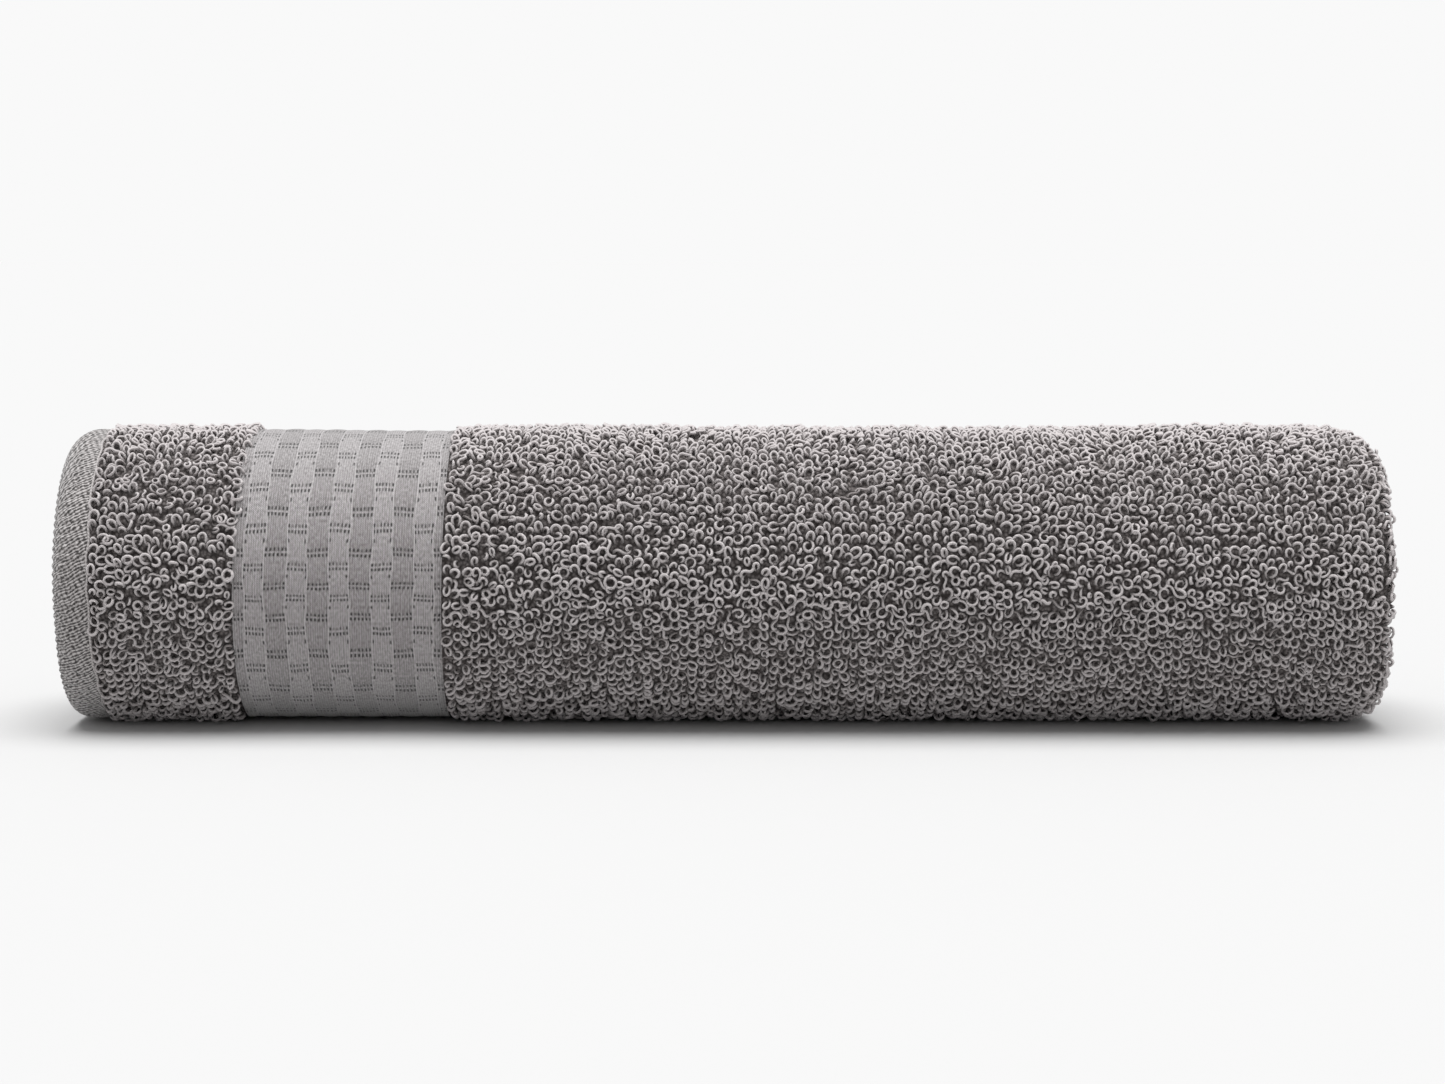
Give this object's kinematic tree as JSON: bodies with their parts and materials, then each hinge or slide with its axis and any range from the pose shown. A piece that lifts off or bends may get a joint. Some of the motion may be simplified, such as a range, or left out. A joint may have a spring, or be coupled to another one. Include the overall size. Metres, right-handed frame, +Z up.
{
  "type": "rolled bath towel",
  "caption": "Bath towel in grey terry with a woven check border, folded in thirds along its length and rolled up, lying on its loose end.",
  "frame": {"origin": "on the floor, under the middle of the roll's box", "axes": "+X along the roll from the hemmed end to the folded end, -Y the front, +Z up; the loose end lies at the back, on the floor"},
  "size_m": [0.4666, 0.1018, 0.1066],
  "materials": {
    "terry": "looped cotton terry, mid grey, matt"
  },
  "bodies": {
    "root": {"towel": "terry"}
  },
  "joints": []
}
